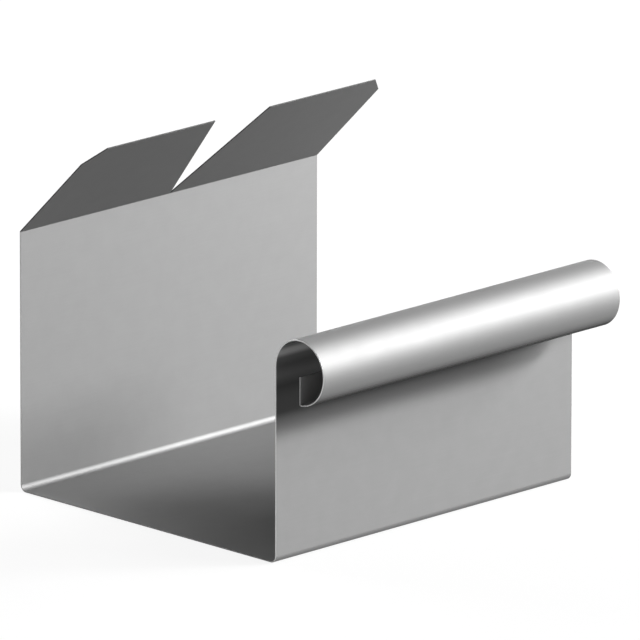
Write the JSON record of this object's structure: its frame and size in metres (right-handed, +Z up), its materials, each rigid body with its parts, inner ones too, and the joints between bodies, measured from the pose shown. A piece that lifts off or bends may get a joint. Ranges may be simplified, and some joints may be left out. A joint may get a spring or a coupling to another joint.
{
  "type": "gutter connector",
  "caption": "Folded sheet-metal sleeve that joins box gutters: square trough, rolled front bead with an inner lip, and leaning back tabs parted by a V notch.",
  "frame": {"origin": "middle of the underside of the floor, half way along the channel and half way between its walls' outer faces", "axes": "+X along the channel, +Y towards the back wall with the tabs, -Y towards the front wall with the bead, +Z up"},
  "size_m": [0.1414, 0.1443, 0.1255],
  "materials": {
    "galvanised_sheet": "smooth bare galvanised sheet, satin to bright, with sheared edges"
  },
  "bodies": {
    "root": {"connector_sheet": "galvanised_sheet"}
  },
  "joints": []
}
